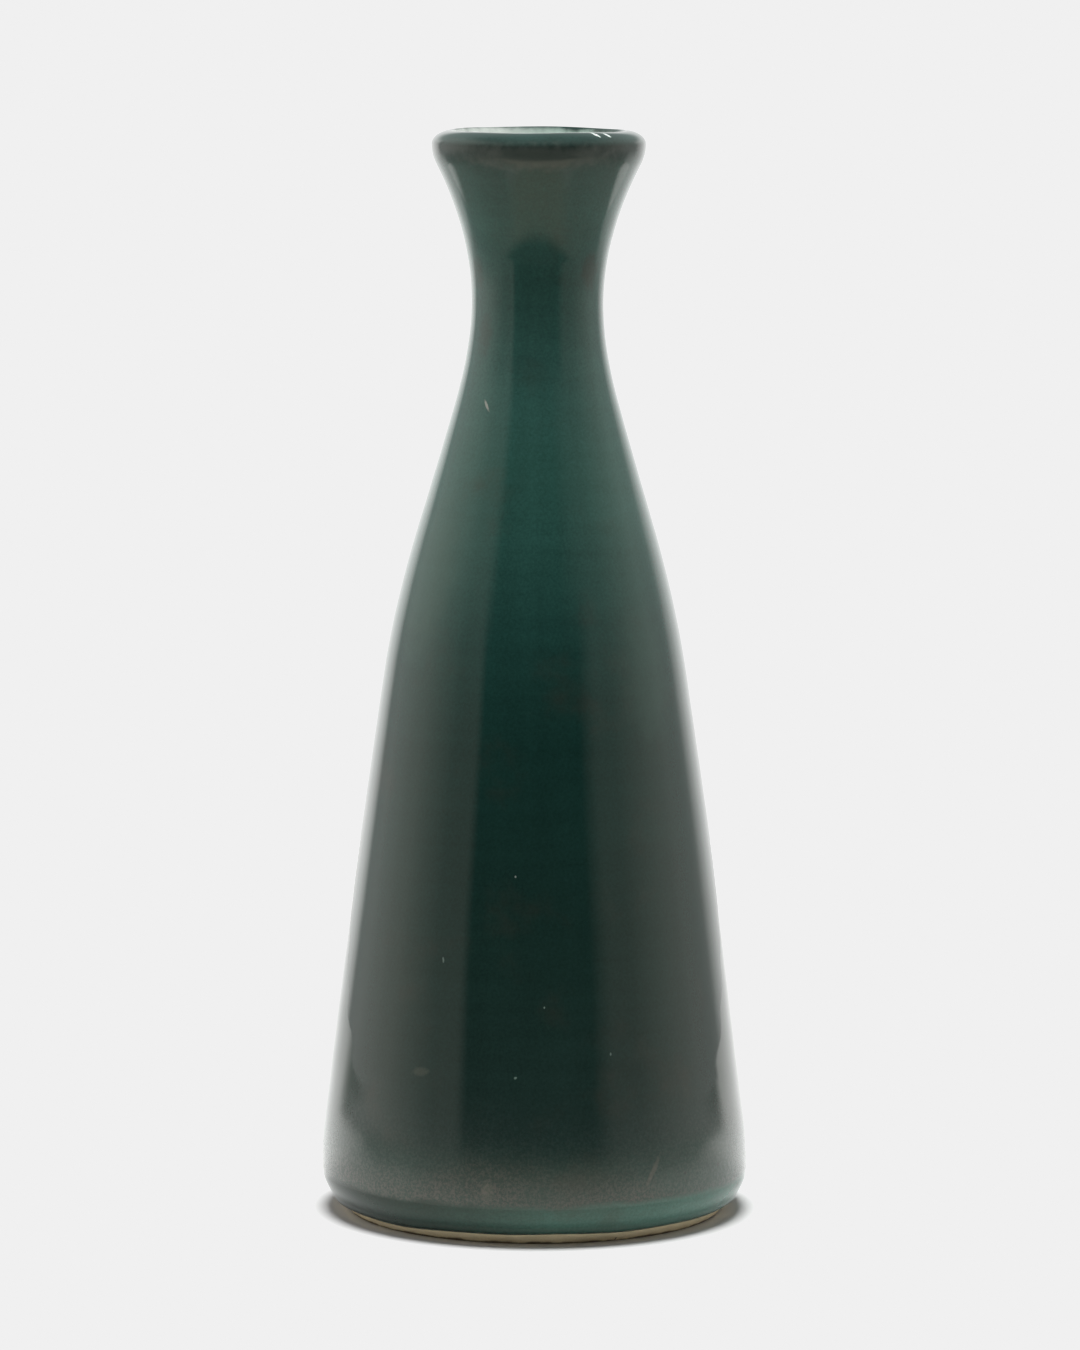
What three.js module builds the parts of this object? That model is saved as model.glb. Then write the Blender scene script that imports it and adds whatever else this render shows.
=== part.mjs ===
// A thrown stoneware sake bottle: one clay body that stands on a trimmed foot ring, and the
// glaze coats that are fused to it around the foot, up the outside, over the lip and inside.
// Millimetres, +Z up, origin at the centre of the foot ring's resting plane.
import * as THREE from 'three';

// Driving dimensions
const HEIGHT = 206; // resting plane to the crest of the lip
const GLAZE = 0.6; // thickness of every glaze coat
const SEGMENTS = 48; // facets around the bottle

// Stations up the outside. slope is the change of radius for each millimetre of height, and
// steps is how many straight facets join a station to the one below it.
const FOOT_RADIUS = 35.7;
const GLAZE_LINE = { height: 2.1, radius: 37.9, slope: 0.85 };
const HEEL = { height: 7.5, radius: 40.8, slope: 0.1, steps: 3 };
const WALL = [
  { height: 24.5, radius: 39.7, slope: -0.125, steps: 3 }, // lower wall
  { height: 103, radius: 28.7, slope: -0.15, steps: 3 }, // start of the shoulder
  { height: 132, radius: 22, slope: -0.3, steps: 2 }, // end of the shoulder
  { height: 154.5, radius: 15.4, slope: -0.28, steps: 2 }, // root of the neck
  { height: 173, radius: 12.4, slope: -0.01, steps: 3 }, // neck
  { height: 199.5, radius: 19.2, slope: 0.51, steps: 4 }, // underside of the lip
];

// Rounded lip
const LIP_RADIUS = 20.2; // widest point of the lip
const LIP_DROP = 2.5; // from the crest down to the widest point
const CREST_RADIUS = 16.4;
const CREST_ROLL = 1; // how far the crest stays level towards the inside
const THROAT_HEIGHT = 196; // where the inside of the lip meets the inside of the mouth
const THROAT_REACH = 4; // how far the throat keeps its slope up into the lip
const LIP_STEPS = { under: 2, over: 4, into: 3 };

// Inside and underside
const WALL_AT_FOOT = 4.8; // wall with both its coats
const WALL_AT_NECK = 3.9;
const NECK_HEIGHT = 173;
const FLOOR_HEIGHT = 8.2; // top of the glazed floor
const FLOOR_CORNER = 9; // radius of the inside corner
const CORNER_STEPS = 3;
const RING_WIDTH = 6.5; // flat ring that the bottle rests on
const RECESS = { depth: 2.6, draft: 1.5 }; // hollow inside the ring

// Finishes
const CLAY = { color: 0xb3a478, roughness: 0.85, metalness: 0 };
const DARK_GLAZE = { color: 0x1e3f38, roughness: 0.12, metalness: 0 };
const CLEAR_GREEN = { color: 0x2f5c50, roughness: 0.1, metalness: 0 };

function point(radius, height) {
  return new THREE.Vector2(radius, height);
}

// Radius and slope at a height between two stations: a cubic that keeps both their slopes.
function between(low, high, height) {
  const span = high.height - low.height;
  const t = (height - low.height) / span;
  const start = low.slope * span;
  const end = high.slope * span;
  const growth = high.radius - low.radius;
  const square = 3 * growth - 2 * start - end;
  const cube = start + end - 2 * growth;
  return {
    radius: low.radius + t * (start + t * (square + t * cube)),
    slope: (start + t * (2 * square + t * 3 * cube)) / span,
  };
}

// Points from one station up to the next, without the upper one.
function rise(low, high) {
  return Array.from({ length: high.steps }, (_, i) => {
    const height = THREE.MathUtils.lerp(low.height, high.height, i / high.steps);
    return point(between(low, high, height).radius, height);
  });
}

function wallOutline() {
  const stations = [HEEL, ...WALL];
  return WALL.flatMap((high, i) => rise(stations[i], high));
}

// Inside surface at a height: the outside less the wall, which thins towards the neck.
function insideAt(height) {
  const stations = [HEEL, ...WALL];
  const above = stations.findIndex((station, i) => i > 0 && height <= station.height);
  const outside = between(stations[above - 1], stations[above], height);
  const up = Math.min(height / NECK_HEIGHT, 1);
  const wall = THREE.MathUtils.lerp(WALL_AT_FOOT, WALL_AT_NECK, up);
  const level = wall * Math.hypot(1, outside.slope);
  return { radius: outside.radius - level, slope: outside.slope };
}

// Over the lip, from its underside round the crest and down to the throat.
function lipOutline() {
  const start = WALL[WALL.length - 1];
  const widest = point(LIP_RADIUS, HEIGHT - LIP_DROP);
  const corner = start.height + (LIP_RADIUS - start.radius) / start.slope;
  const throat = insideAt(THROAT_HEIGHT);
  const overhang = LIP_RADIUS - CREST_RADIUS;
  const under = new THREE.QuadraticBezierCurve(
    point(start.radius, start.height),
    point(LIP_RADIUS, corner),
    widest,
  );
  const over = new THREE.EllipseCurve(CREST_RADIUS, widest.y, overhang, LIP_DROP, 0, Math.PI / 2);
  const into = new THREE.CubicBezierCurve(
    point(CREST_RADIUS, HEIGHT),
    point(CREST_RADIUS - CREST_ROLL, HEIGHT),
    point(throat.radius + THROAT_REACH * throat.slope, THROAT_HEIGHT + THROAT_REACH),
    point(throat.radius, THROAT_HEIGHT),
  );
  return [
    ...under.getPoints(LIP_STEPS.under),
    ...over.getPoints(LIP_STEPS.over).slice(1),
    ...into.getPoints(LIP_STEPS.into).slice(1),
  ];
}

// From below the throat down the inside wall, level with the outside's points, then round the
// corner and across the floor.
function insideOutline(outside) {
  const cornerTop = FLOOR_HEIGHT + FLOOR_CORNER;
  const levels = outside.map((p) => p.y).filter((y) => y > cornerTop && y < THROAT_HEIGHT);
  const down = levels.reverse().map((height) => point(insideAt(height).radius, height));
  const centre = insideAt(cornerTop).radius - FLOOR_CORNER;
  const corner = new THREE.EllipseCurve(
    centre, cornerTop, FLOOR_CORNER, FLOOR_CORNER, 0, -Math.PI / 2, true,
  );
  return [...down, ...corner.getPoints(CORNER_STEPS), point(0, FLOOR_HEIGHT)];
}

// The outline moved into the clay by one coat of glaze, square to the surface.
function underGlaze(outline) {
  return outline.map((here, i) => {
    const before = outline[Math.max(i - 1, 0)];
    const after = outline[Math.min(i + 1, outline.length - 1)];
    const along = after.clone().sub(before).normalize();
    const inward = point(-along.y, along.x).multiplyScalar(GLAZE);
    return here.x === 0 ? point(0, here.y - GLAZE) : inward.add(here);
  });
}

const heel = rise(GLAZE_LINE, HEEL);
const wall = wallOutline();
const lip = lipOutline();
const inside = insideOutline(wall);
const glazed = [...heel, ...wall, ...lip, ...inside];
const clay = underGlaze(glazed);

// A solid of revolution about Z. Its profile closes on itself, or starts and ends on the axis.
function turned(name, profile, finish) {
  const geometry = new THREE.LatheGeometry(profile, SEGMENTS);
  geometry.rotateX(Math.PI / 2);
  const mesh = new THREE.Mesh(geometry, new THREE.MeshStandardMaterial(finish));
  mesh.name = name;
  return mesh;
}

function clayBody() {
  const ringInside = FOOT_RADIUS - RING_WIDTH;
  const underside = [
    point(0, RECESS.depth),
    point(ringInside - RECESS.draft, RECESS.depth),
    point(ringInside, 0),
    point(FOOT_RADIUS, 0),
  ];
  return turned('clay_body', [...underside, ...clay], CLAY);
}

// A coat that ends in two edges: along the glazed surface, then back along the clay.
function band(name, first, last, finish) {
  const surface = glazed.slice(first, last + 1);
  const bed = clay.slice(first, last + 1).reverse();
  return turned(name, [...surface, ...bed, surface[0]], finish);
}

// The coat inside, which covers the floor: out along the clay and back along the glaze.
function lining(name, first, finish) {
  return turned(name, [...clay.slice(first).reverse(), ...glazed.slice(first)], finish);
}

const heelTop = heel.length;
const lipStart = heelTop + wall.length;
const throatEnd = lipStart + lip.length - 1;

const bottle = new THREE.Group();
bottle.add(clayBody());
bottle.add(band('foot_glaze_roll', 0, heelTop, CLEAR_GREEN));
bottle.add(band('outer_glaze', heelTop, lipStart, DARK_GLAZE));
bottle.add(band('lip_glaze', lipStart, throatEnd, CLEAR_GREEN));
bottle.add(lining('inner_glaze', throatEnd, CLEAR_GREEN));

export default bottle;
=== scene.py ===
"""Looks of the stoneware sake bottle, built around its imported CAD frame."""
import math

import bpy
import numpy as np
from mathutils import Matrix, Vector

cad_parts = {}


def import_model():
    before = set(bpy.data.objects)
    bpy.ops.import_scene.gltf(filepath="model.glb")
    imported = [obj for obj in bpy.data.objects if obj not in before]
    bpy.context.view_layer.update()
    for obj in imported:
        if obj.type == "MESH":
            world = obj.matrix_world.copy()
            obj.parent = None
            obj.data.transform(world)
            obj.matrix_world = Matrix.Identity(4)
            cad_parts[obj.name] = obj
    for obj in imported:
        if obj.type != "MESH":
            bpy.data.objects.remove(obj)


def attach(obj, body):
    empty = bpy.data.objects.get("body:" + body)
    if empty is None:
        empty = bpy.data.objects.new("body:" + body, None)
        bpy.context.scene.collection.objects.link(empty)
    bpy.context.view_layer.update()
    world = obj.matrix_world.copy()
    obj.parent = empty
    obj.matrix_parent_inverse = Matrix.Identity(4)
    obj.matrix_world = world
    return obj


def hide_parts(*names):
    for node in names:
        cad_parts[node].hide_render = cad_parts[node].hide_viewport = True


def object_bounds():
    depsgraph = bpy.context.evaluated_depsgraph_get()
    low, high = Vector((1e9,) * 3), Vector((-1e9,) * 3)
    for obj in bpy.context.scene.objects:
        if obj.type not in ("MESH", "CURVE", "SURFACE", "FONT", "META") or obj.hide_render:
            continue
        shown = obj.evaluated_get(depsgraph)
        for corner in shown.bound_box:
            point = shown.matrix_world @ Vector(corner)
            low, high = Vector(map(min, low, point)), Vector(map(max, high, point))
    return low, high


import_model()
cad_low, cad_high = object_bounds()

HEIGHT = cad_high.z
MM = HEIGHT / 206  # the CAD model's millimetre

# Outline of the glazed outside in CAD millimetres: height, radius and slope of each station
FOOT_RADIUS = 35.7
GLAZE_LINE = (2.1, 37.9, 0.85)
HEEL = (7.5, 40.8, 0.1)
WALL = [
    HEEL,
    (24.5, 39.7, -0.125),
    (103, 28.7, -0.15),
    (132, 22, -0.3),
    (154.5, 15.4, -0.28),
    (173, 12.4, -0.01),
    (199.5, 19.2, 0.51),
]
TOP = 206
LIP_RADIUS, LIP_DROP, CREST_RADIUS = 20.2, 2.5, 16.4
CREST_ROLL, THROAT_HEIGHT, THROAT_REACH = 1.0, 196, 4
WALL_AT_FOOT, WALL_AT_NECK, NECK_HEIGHT = 4.8, 3.9, 173
FLOOR_HEIGHT, FLOOR_CORNER = 8.2, 9
RING_WIDTH, RECESS_DEPTH, RECESS_DRAFT = 6.5, 2.6, 1.5
GLAZE = 0.6
LIP_SQUARE = 1.04  # 1 rolls the lip over as an ellipse, more makes it leaner, less squarer
BEAD = 0.3  # how far the foot's glaze swells above its edge
FOOT_EASE = 0.3  # radius of the foot ring's outer corner
POOL_EDGE = (7.4, 8.8)  # heights over which the foot's thick coat gives way to the wall's
SATIN_FADE = (32, 12)  # heights over which the glaze turns from glossy to satin
HAZE_ROUGHNESS = 0.42

AROUND = 256  # columns of each turned mesh
FINE = 0.5  # millimetres between rings on curved stretches


# ---------------------------------------------------------------- outline

def hermite(low, high, height):
    """Radius and slope at a height between two stations."""
    span = high[0] - low[0]
    t = (height - low[0]) / span
    start, end, growth = low[2] * span, high[2] * span, high[1] - low[1]
    square = 3 * growth - 2 * start - end
    cube = start + end - 2 * growth
    radius = low[1] + t * (start + t * (square + t * cube))
    return radius, (start + t * (2 * square + t * 3 * cube)) / span


def rise(low, high, spacing):
    """Points from one station up to the next, without the upper one."""
    count = max(2, round((high[0] - low[0]) / spacing))
    heights = np.linspace(low[0], high[0], count, endpoint=False)
    return [(hermite(low, high, z)[0], z) for z in heights]


def inside_at(height):
    """Radius and slope of the glazed inside at a height."""
    spans = zip(WALL, WALL[1:])
    low, high = next(pair for pair in spans if height <= pair[1][0])
    radius, slope = hermite(low, high, height)
    up = min(height / NECK_HEIGHT, 1)
    wall = WALL_AT_FOOT + (WALL_AT_NECK - WALL_AT_FOOT) * up
    return radius - wall * math.hypot(1, slope), slope


def bezier(points, count):
    """Points of a Bezier curve of any degree, without its first."""
    curve = []
    for t in np.linspace(0, 1, count + 1)[1:]:
        level = [np.array(p, float) for p in points]
        while len(level) > 1:
            level = [a * (1 - t) + b * t for a, b in zip(level, level[1:])]
        curve.append(tuple(level[0]))
    return curve


def arc(centre, radii, start, end, count):
    """Points of an elliptical arc, without its first."""
    turns = np.linspace(start, end, count + 1)[1:]
    return [(centre[0] + radii[0] * math.cos(a), centre[1] + radii[1] * math.sin(a)) for a in turns]


def lip_outline():
    height, radius, slope = WALL[-1]
    widest = (LIP_RADIUS, TOP - LIP_DROP)
    corner = (LIP_RADIUS, height + (LIP_RADIUS - radius) / slope)
    throat, throat_slope = inside_at(THROAT_HEIGHT)
    overhang = LIP_RADIUS - CREST_RADIUS
    into = [
        (CREST_RADIUS, TOP),
        (CREST_RADIUS - CREST_ROLL, TOP),
        (throat + THROAT_REACH * throat_slope, THROAT_HEIGHT + THROAT_REACH),
        (throat, THROAT_HEIGHT),
    ]
    turns = np.linspace(0, math.pi / 2, 25)[1:]
    shares = [(math.cos(a) ** LIP_SQUARE, math.sin(a) ** LIP_SQUARE) for a in turns[:-1]]
    over = [(CREST_RADIUS + overhang * across, widest[1] + LIP_DROP * up) for across, up in shares]
    return [
        (radius, height),
        *bezier([(radius, height), corner, widest], 10),
        *over,
        (CREST_RADIUS, TOP),
        *bezier(into, 24),
    ]


def inside_outline():
    corner_top = FLOOR_HEIGHT + FLOOR_CORNER
    heights = np.linspace(THROAT_HEIGHT, corner_top, 150)[1:]
    down = [(inside_at(z)[0], z) for z in heights]
    centre = down[-1][0] - FLOOR_CORNER
    corner = arc((centre, corner_top), (FLOOR_CORNER, FLOOR_CORNER), 0, -math.pi / 2, 12)
    across = [(centre * share, FLOOR_HEIGHT) for share in (0.75, 0.5, 0.25, 0)]
    return [*down, *corner, *across]


def under_glaze(outline, depth):
    """The outline moved into the clay, square to the surface."""
    line = np.array(outline)
    along = np.gradient(line, axis=0)
    along /= np.linalg.norm(along, axis=1)[:, None]
    bed = line + depth * np.stack([-along[:, 1], along[:, 0]], 1)
    bed[line[:, 0] == 0, 0] = 0
    return [tuple(p) for p in bed]


# ---------------------------------------------------------------- meshes

def thrown(radius, height, turn):
    """Where a point of the ideal profile lies on the hand-made bottle, in millimetres."""
    swell = np.sin(np.pi * np.clip(height / TOP, 0, 1)) ** 0.5
    oval = 0.10 * np.cos(2 * turn + 0.7 + height / 60)
    wave = 0.045 * np.sin(3 * turn - height / 17 + 1.1) + 0.03 * np.sin(5 * turn + height / 11)
    rings = 0.008 * np.sin(height * 2 * np.pi / 8.5 + turn)
    out = radius + np.minimum(radius / 12, 1) * (swell * (oval + wave) + rings)
    edge = 0.17 * np.sin(2 * turn + 0.6) + 0.12 * np.sin(5 * turn + 2) + 0.07 * np.sin(11 * turn)
    lip = 0.07 * np.sin(2 * turn + 1) + 0.05 * np.sin(5 * turn - 0.6)
    outside = np.clip((radius - 30) / 5, 0, 1)
    up = height + outside * edge * np.interp(height, (0.5, 2.1, 7), (0, 1, 0))
    up = up + lip * np.interp(height, (199, 206), (0, 1))
    bend = 0.22 * (2 * height / TOP - 1) ** 2
    return out * np.sin(turn) + bend, -out * np.cos(turn), up


def turned(name, profile, closed):
    """A surface of revolution. The profile closes on itself, or starts and ends on the axis."""
    line = np.array(profile)
    turns = np.arange(AROUND) * 2 * math.pi / AROUND
    points = np.stack(thrown(line[:, :1], line[:, 1:], turns[None, :]), -1) * MM
    rows = len(line)
    index = np.zeros((rows, AROUND), int)
    keep, total = [], 0
    for row in range(rows):
        count = 1 if line[row, 0] == 0 else AROUND
        index[row] = total + np.arange(AROUND) % count
        keep.append(points[row, :count])
        total += count
    faces = []
    pairs = [(row, row + 1) for row in range(rows - 1)] + ([(rows - 1, 0)] if closed else [])
    for low, high in pairs:
        corners = (index[low], np.roll(index[low], -1), np.roll(index[high], -1), index[high])
        faces += [list(dict.fromkeys(int(i) for i in face)) for face in zip(*corners)]
    mesh = bpy.data.meshes.new(name)
    mesh.from_pydata([tuple(p) for p in np.concatenate(keep)], [], faces)
    mesh.update()
    piece = bpy.data.objects.new(name, mesh)
    bpy.context.scene.collection.objects.link(piece)
    mesh.shade_smooth()
    mesh.set_sharp_from_angle(angle=math.radians(40))
    return piece


def dress(piece, node, material):
    piece.data.materials.append(material)
    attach(piece, "root")
    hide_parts(node)


# ---------------------------------------------------------------- materials

class Graph:
    """Short names for the shader nodes that the materials are wired from."""

    def __init__(self, tree):
        self.tree = tree

    def node(self, kind, inputs=(), **settings):
        made = self.tree.nodes.new(kind)
        for name, value in settings.items():
            setattr(made, name, value)
        for socket, value in dict(inputs).items():
            self.feed(made.inputs[socket], value)
        return made

    def feed(self, socket, value):
        if isinstance(value, bpy.types.NodeSocket):
            self.tree.links.new(value, socket)
        elif socket.type == "RGBA" and len(value) == 3:
            socket.default_value = (*value, 1)
        else:
            socket.default_value = value

    def math(self, operation, *values):
        inputs = dict(enumerate(values))
        return self.node("ShaderNodeMath", inputs, operation=operation).outputs[0]

    def sum(self, *values):
        total = values[0]
        for value in values[1:]:
            total = self.math("ADD", total, value)
        return total

    def times(self, *values):
        product = values[0]
        for value in values[1:]:
            product = self.math("MULTIPLY", product, value)
        return product

    def fade(self, value, start, end, low=0.0, high=1.0):
        """Smoothly from low to high while the value goes from start to end."""
        if start > end:
            start, end, low, high = end, start, high, low
        inputs = {0: value, 1: start, 2: end, 3: low, 4: high}
        made = self.node("ShaderNodeMapRange", inputs, interpolation_type="SMOOTHSTEP")
        return made.outputs[0]

    def ramp(self, value, stops):
        made = self.node("ShaderNodeValToRGB", {0: value})
        elements = made.color_ramp.elements
        for i, (position, colour) in enumerate(stops):
            stop = elements[i] if i < 2 else elements.new(position)
            stop.position = position
            stop.color = (*colour, 1) if isinstance(colour, tuple) else (colour,) * 3 + (1,)
        return made.outputs[0]

    def mix(self, share, first, second):
        made = self.node("ShaderNodeMix", {0: share, 6: first, 7: second}, data_type="RGBA")
        return made.outputs[2]

    def scale(self, colour, factor):
        made = self.node("ShaderNodeVectorMath", {0: colour, "Scale": factor}, operation="SCALE")
        return made.outputs[0]

    def noise(self, place, size, detail=2.0, rough=0.5):
        inputs = {"Vector": place, "Scale": 1 / size, "Detail": detail, "Roughness": rough}
        return self.node("ShaderNodeTexNoise", inputs).outputs[0]


class Ground:
    """Where a point is: millimetres, height, turn from the front and distance from the axis."""

    def __init__(self, graph):
        coordinates = graph.node("ShaderNodeTexCoord").outputs["Object"]
        self.place = graph.scale(coordinates, 1 / MM)
        self.x, self.y, self.height = graph.node("ShaderNodeSeparateXYZ", {0: self.place}).outputs
        self.turn = graph.math("ARCTAN2", self.x, graph.math("MULTIPLY", self.y, -1.0))
        across = graph.sum(graph.times(self.x, self.x), graph.times(self.y, self.y))
        self.radius = graph.math("SQRT", across)
        self.share = graph.math("DIVIDE", self.height, TOP)
        whole = graph.math("MAXIMUM", self.radius, 1.0)
        self.around = [graph.math("DIVIDE", axis, whole) for axis in (self.x, self.y)]
        self.streaky = self.stretched(graph, 4.0, 55)
        self.banded = self.stretched(graph, 1.0, 3)

    def stretched(self, graph, across, tall):
        """Coordinates for noise: finer round the bottle by one factor, and so many mm tall."""
        x, y = (graph.times(axis, across) for axis in self.around)
        inputs = {0: x, 1: y, 2: graph.times(self.height, 1 / tall)}
        return graph.node("ShaderNodeCombineXYZ", inputs).outputs[0]


def outside_at(height):
    """Radius of the glazed outside at a height."""
    height = min(height, WALL[-1][0])
    low, high = next(pair for pair in zip(WALL, WALL[1:]) if height <= pair[1][0])
    return hermite(low, high, height)[0]


def mark(graph, ground, degrees, height, wide, tall, lean=0):
    """A soft-edged oval on the wall: turn and height of its centre, half sizes, lean in degrees."""
    away = graph.math("SUBTRACT", ground.turn, math.radians(degrees))
    across = graph.times(away, outside_at(height))
    up = graph.math("SUBTRACT", ground.height, height)
    c, s = math.cos(math.radians(lean)), math.sin(math.radians(lean))
    level = graph.times(graph.sum(graph.times(across, c), graph.times(up, s)), 1 / wide)
    plumb = graph.times(graph.sum(graph.times(up, c), graph.times(across, -s)), 1 / tall)
    size = graph.math("SQRT", graph.sum(graph.times(level, level), graph.times(plumb, plumb)))
    uneven = graph.noise(ground.place, 0.3 + 0.6 * min(wide, tall), 2)
    return graph.fade(graph.sum(size, uneven), 1.9, 0.9)


def new_material(name):
    material = bpy.data.materials.new(name)
    material.use_nodes = True
    tree = material.node_tree
    tree.nodes.clear()
    output = tree.nodes.new("ShaderNodeOutputMaterial")
    shader = tree.nodes.new("ShaderNodeBsdfPrincipled")
    tree.links.new(shader.outputs[0], output.inputs[0])
    return material, Graph(tree), shader


# The glaze's colour up the bottle: share of its height, colour
GREEN = [
    (0.00, (0.030, 0.075, 0.058)),
    (0.04, (0.026, 0.060, 0.048)),
    (0.10, (0.017, 0.036, 0.031)),
    (0.25, (0.013, 0.036, 0.030)),
    (0.45, (0.011, 0.043, 0.036)),
    (0.55, (0.017, 0.064, 0.054)),
    (0.70, (0.035, 0.112, 0.092)),
    (0.80, (0.052, 0.150, 0.128)),
    (0.92, (0.050, 0.136, 0.115)),
    (0.97, (0.036, 0.092, 0.078)),
    (0.985, (0.034, 0.060, 0.052)),
    (1.00, (0.008, 0.032, 0.028)),
]
BROWN = (0.050, 0.044, 0.034)
# Grey-brown satin mottle above the heel: partly the glaze's own, partly painted reflection of the
# floor
SATIN_AND_PAINTED_SHEEN = (0.098, 0.080, 0.070)
WARM_SHEEN = (1.0, 0.97, 0.84, 1)
# Inside the lip: thin pale glaze with a painted highlight that is palest to the left
RIM_PALE, RIM_GREEN = (0.74, 0.78, 0.74), (0.64, 0.82, 0.73)
LINING = [
    (0.0, (0.10, 0.15, 0.12)),
    (0.6, (0.12, 0.18, 0.14)),
    (0.9, (0.24, 0.29, 0.24)),
    (1.0, (0.32, 0.38, 0.33)),
]

# Marks in the glaze's colour: turn, height, half width, half height, lean, strength, colour.
# Most are pinholes, smears and flushes. The wide pale one on the front of the lip is a painted
# reflection, and the two large light ones at mid-height are painted light.
GLAZE_MARKS_AND_PAINTED_LIGHT = [
    (-38, 155, 0.25, 1.2, 35, 0.8, (0.5, 0.5, 0.45)),
    (-33, 32, 1.9, 0.8, 5, 0.20, (0.16, 0.16, 0.12)),
    (-12, 10.8, 1.1, 1.9, 0, 0.35, (0.13, 0.13, 0.10)),
    (33, 13.5, 0.5, 3.2, -30, 0.35, (0.17, 0.14, 0.12)),
    (58, 12.5, 0.35, 0.35, 0, 0.8, (0.01, 0.015, 0.015)),
    (44, 12.4, 0.35, 0.25, 0, 0.7, (0.015, 0.02, 0.02)),
    (-6, 69, 0.16, 0.22, 0, 0.9, (0.35, 0.42, 0.38)),
    (3, 45, 0.15, 0.2, 0, 0.8, (0.25, 0.35, 0.3)),
    (-5, 32, 0.28, 0.2, 40, 0.8, (0.2, 0.3, 0.25)),
    (22, 36, 0.18, 0.3, 0, 0.7, (0.2, 0.28, 0.25)),
    (-28, 53, 0.2, 0.5, 10, 0.6, (0.2, 0.28, 0.25)),
    (36, 205.7, 0.6, 0.25, -35, 0.9, (0.75, 0.85, 0.8)),
    (44, 205.6, 0.5, 0.25, -35, 0.9, (0.75, 0.85, 0.8)),
    # painted reflection on the front of the lip
    (0, 201.6, 14, 2.3, 0, 0.62, (0.150, 0.175, 0.155)),
    # painted light at mid-height, one to the left and one to the right
    (-56, 123, 7, 14, 0, 0.40, (0.060, 0.125, 0.100)),
    (48, 106, 6, 12, 0, 0.30, (0.050, 0.110, 0.090)),
    (50, 180, 2.2, 3.5, 0, 0.45, (0.075, 0.060, 0.050)),
    (-62, 179.5, 2.0, 3.0, 0, 0.30, (0.075, 0.060, 0.050)),
    (-50, 168, 2.0, 4.0, 0, 0.30, (0.070, 0.060, 0.050)),
]


class Firing(Ground):
    """Where the kiln left the glaze clouded, streaked, satin or specked."""

    def __init__(self, graph):
        super().__init__(graph)
        self.cloud = graph.noise(self.place, 24, 3)
        self.grain = graph.noise(self.place, 0.5, 3, 0.7)
        self.mottle = graph.noise(self.place, 0.55, 3, 0.8)
        self.streak = graph.noise(self.streaky, 1, 2)
        self.band = graph.noise(self.banded, 1, 3)
        self.level = graph.sum(self.height, graph.times(graph.sum(self.cloud, -0.5), 18))
        ridge = graph.sum(self.height, graph.times(graph.sum(self.streak, -0.5), 2.4))
        self.above = graph.fade(ridge, *POOL_EDGE)
        self.satin = graph.times(graph.fade(self.level, *SATIN_FADE), self.above)
        self.speck = graph.fade(self.mottle, 0.42, 0.62)


def glaze_colour(graph, fired):
    parts = [(fired.cloud, 0.3), (fired.streak, 0.35), (fired.grain, 0.8), (fired.band, 0.3)]
    tone = graph.sum(0.12, *(graph.times(noise, share) for noise, share in parts))
    colour = graph.scale(graph.ramp(fired.share, GREEN), tone)
    # On the chamfer the colour is painted light, brightening from left to right, and it is darker
    # towards the lower edge
    painted_chamfer_light = graph.fade(fired.x, -34, 26, 0.45, 2.1)
    painted_chamfer_light = graph.times(painted_chamfer_light, graph.fade(fired.height, 2.0, 5.0, 0.5, 1.05))
    below = graph.math("SUBTRACT", 1.0, fired.above)
    colour = graph.scale(colour, graph.sum(1.0, graph.times(below, graph.sum(painted_chamfer_light, -1.0))))
    patch = graph.fade(graph.noise(fired.place, 15, 4, 0.6), 0.54, 0.80, 0, 0.35)
    colour = graph.mix(patch, colour, BROWN)
    # Toward the heel more of the satin mottle is mixed in, partly the glaze's own and partly
    # painted floor reflection
    satin_and_painted_sheen = graph.times(fired.satin, graph.fade(fired.level, 16, 7.5, 0.04, 0.66))
    satin_and_painted_sheen = graph.times(satin_and_painted_sheen, graph.sum(0.15, graph.times(fired.speck, 0.85)))
    colour = graph.mix(satin_and_painted_sheen, colour, SATIN_AND_PAINTED_SHEEN)
    for degrees, height, wide, tall, lean, strength, tint in GLAZE_MARKS_AND_PAINTED_LIGHT:
        spot = mark(graph, fired, degrees, height, wide, tall, lean)
        colour = graph.mix(graph.times(spot, strength), colour, tint)
    return colour


def glaze_relief(graph, fired):
    """Heights in millimetres: slow swells, orange peel, and dust where the glaze is satin."""
    swell = graph.times(graph.noise(fired.place, 11, 1), 0.018)
    peel = graph.times(graph.noise(fired.place, 2.5, 1), 0.004)
    dust = graph.times(fired.satin, fired.mottle, 0.004)
    relief = {"Height": graph.sum(swell, peel, dust), "Distance": MM, "Strength": 1.0}
    return graph.node("ShaderNodeBump", relief).outputs[0]


def glaze_material(name, gloss=0.5):
    """Glossy green, with a satin haze and pale specks above the heel, where part of the colour is a
    painted floor reflection.
    """
    material, graph, shader = new_material(name)
    fired = Firing(graph)
    graph.feed(shader.inputs["Base Color"], glaze_colour(graph, fired))
    uneven = graph.sum(0.8, graph.times(fired.mottle, 0.4))
    graph.feed(shader.inputs["Roughness"], graph.sum(0.05, graph.times(fired.satin, uneven, 0.17)))
    haze = graph.times(fired.satin, graph.sum(0.12, graph.times(fired.speck, 0.33)))
    graph.feed(shader.inputs["Coat Weight"], haze)
    graph.feed(shader.inputs["Normal"], glaze_relief(graph, fired))
    shader.inputs["Coat Roughness"].default_value = HAZE_ROUGHNESS
    shader.inputs["Specular IOR Level"].default_value = gloss
    shader.inputs["Specular Tint"].default_value = WARM_SHEEN
    return material


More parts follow.
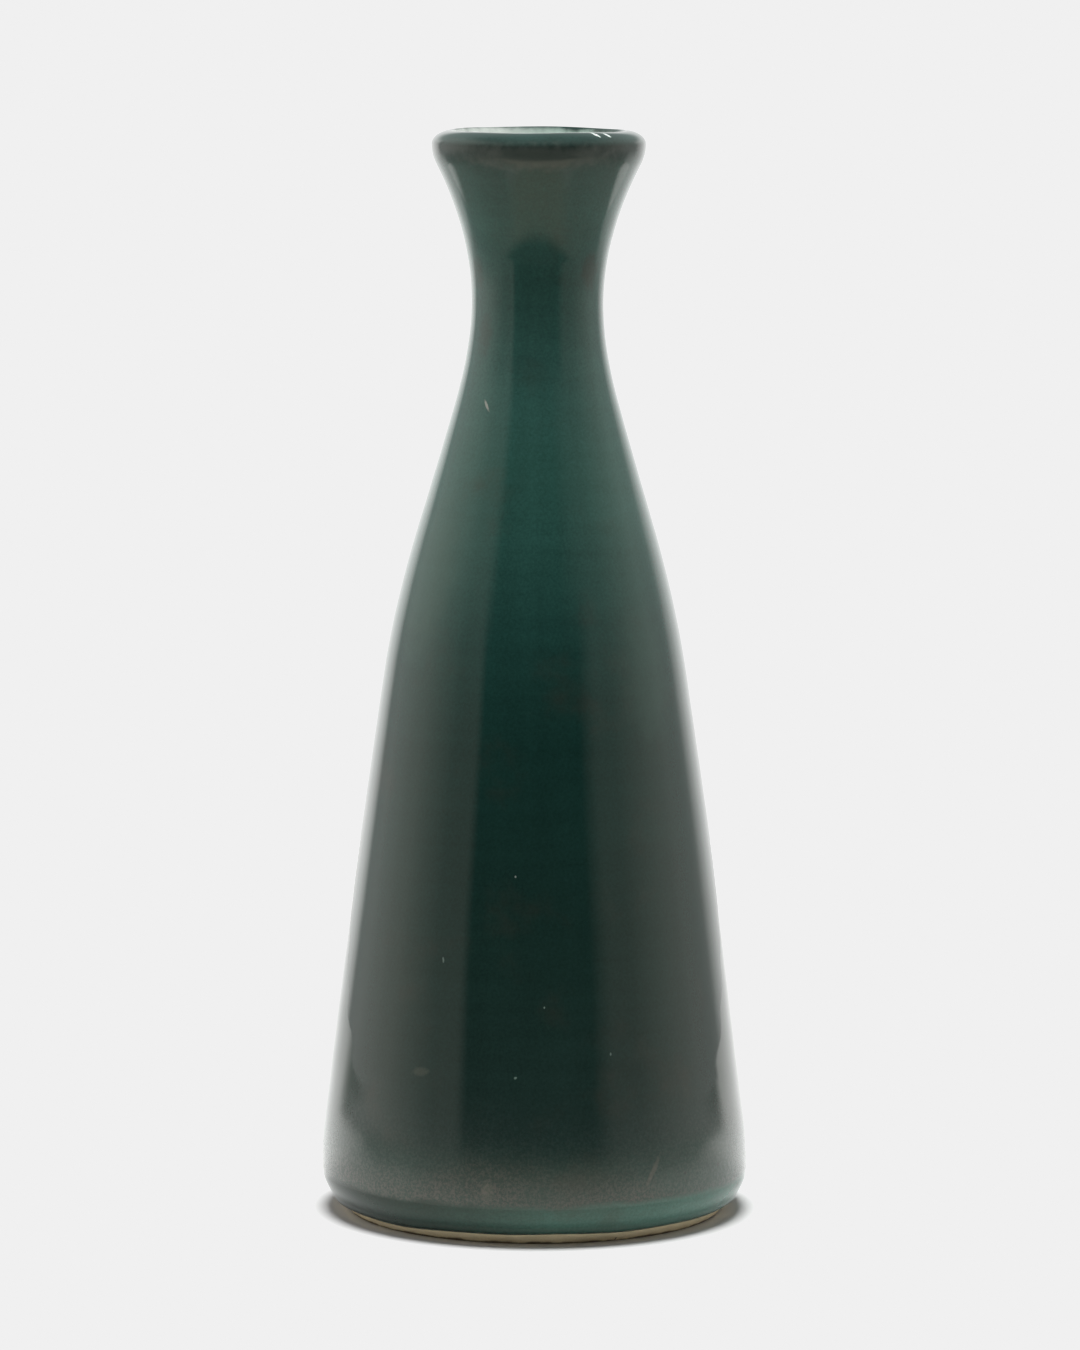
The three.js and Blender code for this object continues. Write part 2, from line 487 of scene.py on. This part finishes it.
def lip_material():
    """The outside's green on the lip, breaking inside the crest to a pale band of thin glaze and
    painted highlight, paler to the left and greener to the right.
    """
    material = glaze_material("lip_green")
    tree = material.node_tree
    shader = next(node for node in tree.nodes if node.type == "BSDF_PRINCIPLED")
    graph = Graph(tree)
    ground = Ground(graph)
    green = shader.inputs["Base Color"].links[0].from_socket
    ragged = graph.times(graph.sum(graph.noise(ground.place, 3, 3), -0.5), 0.8)
    inner = graph.fade(graph.sum(ground.radius, ragged), 16.3, 15.4)
    thin = graph.fade(graph.noise(ground.place, 6, 3), 0.35, 0.65, 0.85, 1.1)
    # Painted highlight: the pale band is lighter on the left than on the right
    pale = graph.scale(graph.mix(graph.fade(ground.x, 8, -10), RIM_GREEN, RIM_PALE), thin)
    graph.feed(shader.inputs["Base Color"], graph.mix(inner, green, pale))
    return material


def lining_material():
    """A clear green that pales towards the mouth."""
    material, graph, shader = new_material("lining_green")
    ground = Ground(graph)
    cloud = graph.noise(ground.place, 9, 4, 0.6)
    grain = graph.noise(ground.place, 0.6, 3, 0.7)
    tone = graph.sum(0.7, graph.times(cloud, 0.4), graph.times(grain, 0.2))
    colour = graph.scale(graph.ramp(ground.share, LINING), tone)
    graph.feed(shader.inputs["Base Color"], colour)
    graph.feed(shader.inputs["Roughness"], graph.fade(cloud, 0.3, 0.7, 0.08, 0.2))
    relief = {"Height": graph.times(cloud, 0.05), "Distance": MM, "Strength": 1.0}
    graph.feed(shader.inputs["Normal"], graph.node("ShaderNodeBump", relief).outputs[0])
    return material


def clay_material():
    """Rough beige clay with dark specks, darkened where it meets the table by grime and painted
    contact shadow.
    """
    material, graph, shader = new_material("bare_clay")
    ground = Ground(graph)
    cloud = graph.noise(ground.place, 5, 4, 0.6)
    grain = graph.noise(ground.place, 0.35, 3, 0.75)
    tone = graph.sum(0.65, graph.times(cloud, 0.4), graph.times(grain, 0.3))
    colour = graph.scale(graph.mix(cloud, (0.80, 0.67, 0.42), (0.72, 0.62, 0.42)), tone)
    # Along the bottom edge: grime and painted contact shadow
    ragged = graph.sum(ground.height, graph.times(graph.sum(cloud, -0.5), 1.2))
    grime_and_contact_shade = graph.fade(ragged, 0.6, 0.1, 0, 0.8)
    colour = graph.mix(grime_and_contact_shade, colour, (0.10, 0.065, 0.04))
    speck = graph.fade(graph.noise(ground.place, 0.8, 2), 0.70, 0.76, 0, 0.7)
    graph.feed(shader.inputs["Base Color"], graph.mix(speck, colour, (0.08, 0.05, 0.035)))
    graph.feed(shader.inputs["Roughness"], graph.fade(grain, 0.3, 0.7, 0.75, 0.95))
    relief = {"Height": graph.times(graph.sum(grain, cloud), 0.05), "Distance": MM, "Strength": 1.0}
    graph.feed(shader.inputs["Normal"], graph.node("ShaderNodeBump", relief).outputs[0])
    return material


# ---------------------------------------------------------------- studio

# How bright the studio is as the glaze sees it, at, below and above the horizon:
# degrees from the front, to the right positive, then brightness
LEVEL = [
    (-180, 0.92), (-170, 1.15), (-158, 1.55), (-146, 1.75), (-139, 1.45), (-134, 0.72),
    (-122, 1.05), (-105, 1.2), (-90, 1.12), (-75, 0.78), (-60, 0.46), (-44, 0.42), (-38, 0.0),
    (34, 0.0), (46, 0.36), (60, 0.42), (75, 0.66), (90, 0.86), (105, 0.92),
    (122, 0.72), (129, 0.72), (136, 1.2), (146, 1.5), (158, 1.45), (170, 1.1), (179, 0.92),
]
LOW = [
    (-180, 0.95), (-160, 1.5), (-134, 1.3), (-126, 0.6), (-115, 0.5), (-75, 0.6), (-60, 0.45),
    (-44, 0.4), (-38, 0.0), (34, 0.0), (46, 0.36), (60, 0.42), (75, 0.55), (112, 0.5), (120, 1.1),
    (134, 1.35), (160, 1.5), (179, 0.95),
]
HIGH = [
    (-180, 0.35), (-150, 0.7), (-128, 1.1), (-100, 1.3), (-80, 1.1), (-60, 0.62), (-44, 0.45),
    (-34, 0.0), (20, 0.0), (40, 0.2), (60, 0.36), (80, 0.65), (110, 0.85), (150, 0.6), (179, 0.35),
]
CEILING = (0.42, 0.42, 0.42)
BACKDROP = (0.95, 0.95, 0.95)
BOUNCE = 0.45  # share of the studio's light that diffuse rays gather
PAPER = (0.85, 0.85, 0.85)
NEAR_PAPER = (0.56, 0.55, 0.54)
TABLE_FRONT, TABLE_SIDE, DARK = (0.50, 0.46, 0.40), (0.42, 0.42, 0.40), (0.04, 0.04, 0.04)
PAPER_GLOW = 0.7  # light through the paper behind the bottle
FLOOR_RADIUS, FLOOR_CORNERS = 2.3, 128  # radius in bottle heights
LAMP_SIZE, LAMP_HEIGHT, LAMP_WATTS = 3, 5, 15.5  # sizes in bottle heights


def studio_ramp(graph, share, stops):
    """Brightness round the studio, from a share of the full turn that starts at the back."""
    return graph.ramp(share, [(degrees / 360 + 0.5, level) for degrees, level in stops])


def world():
    """A studio as reflections see it: dark in front, soft panels beside, bright behind.

    Diffuse rays gather less of it, and the camera sees a plain backdrop instead.
    """
    scene_world = bpy.data.worlds.new("studio")
    bpy.context.scene.world = scene_world
    scene_world.use_nodes = True
    tree = scene_world.node_tree
    tree.nodes.clear()
    graph = Graph(tree)
    way = graph.node("ShaderNodeTexCoord").outputs["Generated"]
    x, y, z = graph.node("ShaderNodeSeparateXYZ", {0: way}).outputs
    azimuth = graph.math("ARCTAN2", x, graph.math("MULTIPLY", y, -1.0))
    share = graph.math("MULTIPLY_ADD", azimuth, 0.5 / math.pi, 0.5)
    low, level, high = (studio_ramp(graph, share, stops) for stops in (LOW, LEVEL, HIGH))

    def rising(start, end):
        return graph.fade(z, math.sin(math.radians(start)), math.sin(math.radians(end)))

    glow = graph.mix(rising(-20, -5), low, level)
    glow = graph.mix(rising(12, 24), glow, high)
    glow = graph.mix(rising(40, 65), glow, CEILING)
    ray = graph.node("ShaderNodeLightPath")
    seen = graph.node("ShaderNodeBackground", {0: BACKDROP})
    lit = graph.node("ShaderNodeBackground", {0: glow})
    graph.feed(lit.inputs[1], graph.fade(ray.outputs["Is Diffuse Ray"], 0, 1, 1, BOUNCE))
    inputs = {0: ray.outputs["Is Camera Ray"], 1: lit.outputs[0], 2: seen.outputs[0]}
    choose = graph.node("ShaderNodeMixShader", inputs)
    graph.node("ShaderNodeOutputWorld", {0: choose.outputs[0]})


def bright_paper(graph, ground):
    """Where reflections see the floor as bright paper: near the bottle and all behind it."""
    close = graph.fade(ground.y, -0.74 * TOP, -0.64 * TOP)
    aside = graph.math("ABSOLUTE", ground.x)
    narrow = graph.fade(aside, 0.66 * TOP, 0.56 * TOP)
    spread = graph.times(graph.math("MAXIMUM", graph.sum(ground.y, 0.1 * TOP), 0.0), -2.0)
    beside = graph.fade(graph.sum(aside, spread), 0.70 * TOP, 0.60 * TOP)
    beside = graph.times(beside, graph.fade(ground.radius, 1.35 * TOP, 1.1 * TOP))
    left = graph.fade(ground.turn, math.radians(-118), math.radians(-130))
    right = graph.fade(ground.turn, math.radians(114), math.radians(122))
    near = graph.times(close, graph.math("MAXIMUM", narrow, beside))
    return graph.math("MAXIMUM", near, graph.math("MAXIMUM", left, right))


def paper_material():
    """Pale wherever the camera sees it, and patterned where reflections see it.

    They see it white near the bottle and behind, greyer in front, the table's colour beyond,
    and dark past the front edge.
    """
    material, graph, shader = new_material("white_paper")
    ground = Ground(graph)
    white = bright_paper(graph, ground)
    middle = graph.fade(graph.math("ABSOLUTE", ground.turn), 0.5, 0.9)
    table = graph.mix(middle, TABLE_FRONT, TABLE_SIDE)
    table = graph.mix(graph.fade(ground.y, -1.65 * TOP, -1.15 * TOP), DARK, table)
    paper = graph.mix(graph.fade(ground.y, -0.24 * TOP, -0.42 * TOP), PAPER, NEAR_PAPER)
    seen = graph.node("ShaderNodeLightPath").outputs["Is Camera Ray"]
    colour = graph.mix(seen, graph.mix(white, table, paper), PAPER)
    graph.feed(shader.inputs["Base Color"], colour)
    graph.feed(shader.inputs["Emission Color"], graph.mix(white, (0.0, 0.0, 0.0), (1.0, 1.0, 1.0)))
    glow = graph.fade(ground.y, 0.03 * TOP, 0.22 * TOP, 0, PAPER_GLOW)
    graph.feed(shader.inputs["Emission Strength"], glow)
    shader.inputs["Roughness"].default_value = 0.9
    shader.inputs["Specular IOR Level"].default_value = 0.0
    return material


def floor():
    radius = FLOOR_RADIUS * HEIGHT
    turns = np.arange(FLOOR_CORNERS) * 2 * math.pi / FLOOR_CORNERS
    ring = [(radius * math.cos(a), radius * math.sin(a), 0) for a in turns]
    mesh = bpy.data.meshes.new("floor")
    mesh.from_pydata(ring, [], [list(range(FLOOR_CORNERS))])
    piece = bpy.data.objects.new("floor", mesh)
    bpy.context.scene.collection.objects.link(piece)
    mesh.materials.append(paper_material())


def overhead():
    """A soft round lamp above, which lights the bottle but doesn't mirror in it."""
    light = bpy.data.lights.new("overhead", "AREA")
    light.shape = "DISK"
    light.size = LAMP_SIZE * HEIGHT
    light.energy = LAMP_WATTS
    lamp = bpy.data.objects.new("overhead", light)
    lamp.location = (0, 0, LAMP_HEIGHT * HEIGHT)
    lamp.visible_glossy = False
    lamp.visible_camera = False
    bpy.context.scene.collection.objects.link(lamp)


def camera():
    """A long lens a little above the bottle, looking slightly down."""
    distance, height, aside = 5.796 * HEIGHT, 1.217 * HEIGHT, 0.0042 * HEIGHT
    down, roll = math.radians(7.07), math.radians(0.24)
    lens = bpy.data.cameras.new("camera")
    lens.sensor_width = 36
    lens.lens = 168.64
    lens.clip_start, lens.clip_end = 0.01, 100
    right = Vector((1, 0, 0))
    up = Vector((0, math.sin(down), math.cos(down)))
    ahead = Vector((0, math.cos(down), -math.sin(down)))
    c, s = math.cos(roll), math.sin(roll)
    right, up = right * c + up * s, up * c - right * s
    turn = Matrix((right, up, -ahead)).transposed().to_4x4()
    view = bpy.data.objects.new("camera", lens)
    view.matrix_world = Matrix.Translation((aside, -distance, height)) @ turn
    bpy.context.scene.collection.objects.link(view)
    bpy.context.scene.camera = view


def white_point():
    """Plain sRGB, with whites held at the pale grey of the paper."""
    look = bpy.context.scene.view_settings
    look.view_transform = "Standard"
    paper = 0.871
    look.use_curve_mapping = True
    mapping = look.curve_mapping
    mapping.extend = "HORIZONTAL"
    tone = mapping.curves[3]
    tone.points[1].location = (1, paper)
    tone.points.new(paper, paper)
    for point in tone.points:
        point.handle_type = "VECTOR"
    mapping.update()


# ---------------------------------------------------------------- the bottle

def foot_roll(surface, bed):
    """The coat on the chamfer: it swells into a bead above its rounded lower edge."""
    line, base = np.array(surface), np.array(bed)
    along = np.gradient(line, axis=0)
    along /= np.linalg.norm(along, axis=1)[:, None]
    out = np.stack([along[:, 1], -along[:, 0]], 1)
    climb = np.concatenate([[0], np.cumsum(np.linalg.norm(np.diff(line, axis=0), axis=1))])
    bead = BEAD * np.exp(-((climb - 0.8) / 0.7) ** 2) * np.minimum(climb / 0.4, 1)
    line = line + out * bead[:, None]
    middle, reach = (line[0] + base[0]) / 2, GLAZE / 2
    turns = np.linspace(math.pi, 0, 8)[1:-1]
    cap = [middle + reach * (math.cos(a) * out[0] - math.sin(a) * along[0]) for a in turns]
    return [*line, *reversed(base), *cap]


def bottle():
    heel = rise(GLAZE_LINE, HEEL, FINE / 2)
    wall = [p for low, high in zip(WALL, WALL[1:]) for p in rise(low, high, 2 * FINE)]
    lip = lip_outline()
    inside = inside_outline()
    glazed = [*heel, *wall, *lip, *inside]
    bed = under_glaze(glazed, GLAZE)
    heel_top, lip_start = len(heel), len(heel) + len(wall)
    throat = lip_start + len(lip) - 1

    def span(first, last):
        return glazed[first:last + 1], bed[first:last + 1]

    def band(first, last):
        surface, under = span(first, last)
        return [*surface, *reversed(under)]

    ring_inside, ring_outside = FOOT_RADIUS - RING_WIDTH, FOOT_RADIUS - FOOT_EASE
    underside = [
        (0, RECESS_DEPTH),
        (ring_inside - RECESS_DRAFT, RECESS_DEPTH),
        (ring_inside, 0),
        (ring_outside, 0),
        *arc((ring_outside, FOOT_EASE), (FOOT_EASE, FOOT_EASE), -math.pi / 2, -0.4, 4),
    ]
    clay = turned("clay", [*underside, *bed], False)
    dress(clay, "clay_body", clay_material())
    roll = turned("foot_roll", foot_roll(*span(0, heel_top)), True)
    dress(roll, "foot_glaze_roll", glaze_material("foot_green", 0.35))
    coat = turned("outer_coat", band(heel_top, lip_start), True)
    dress(coat, "outer_glaze", glaze_material("body_green"))
    lip_coat = turned("lip_coat", band(lip_start, throat), True)
    dress(lip_coat, "lip_glaze", lip_material())
    lining = turned("lining", [*reversed(bed[throat:]), *glazed[throat:]], False)
    dress(lining, "inner_glaze", lining_material())


camera()
white_point()
world()
floor()
overhead()
bottle()
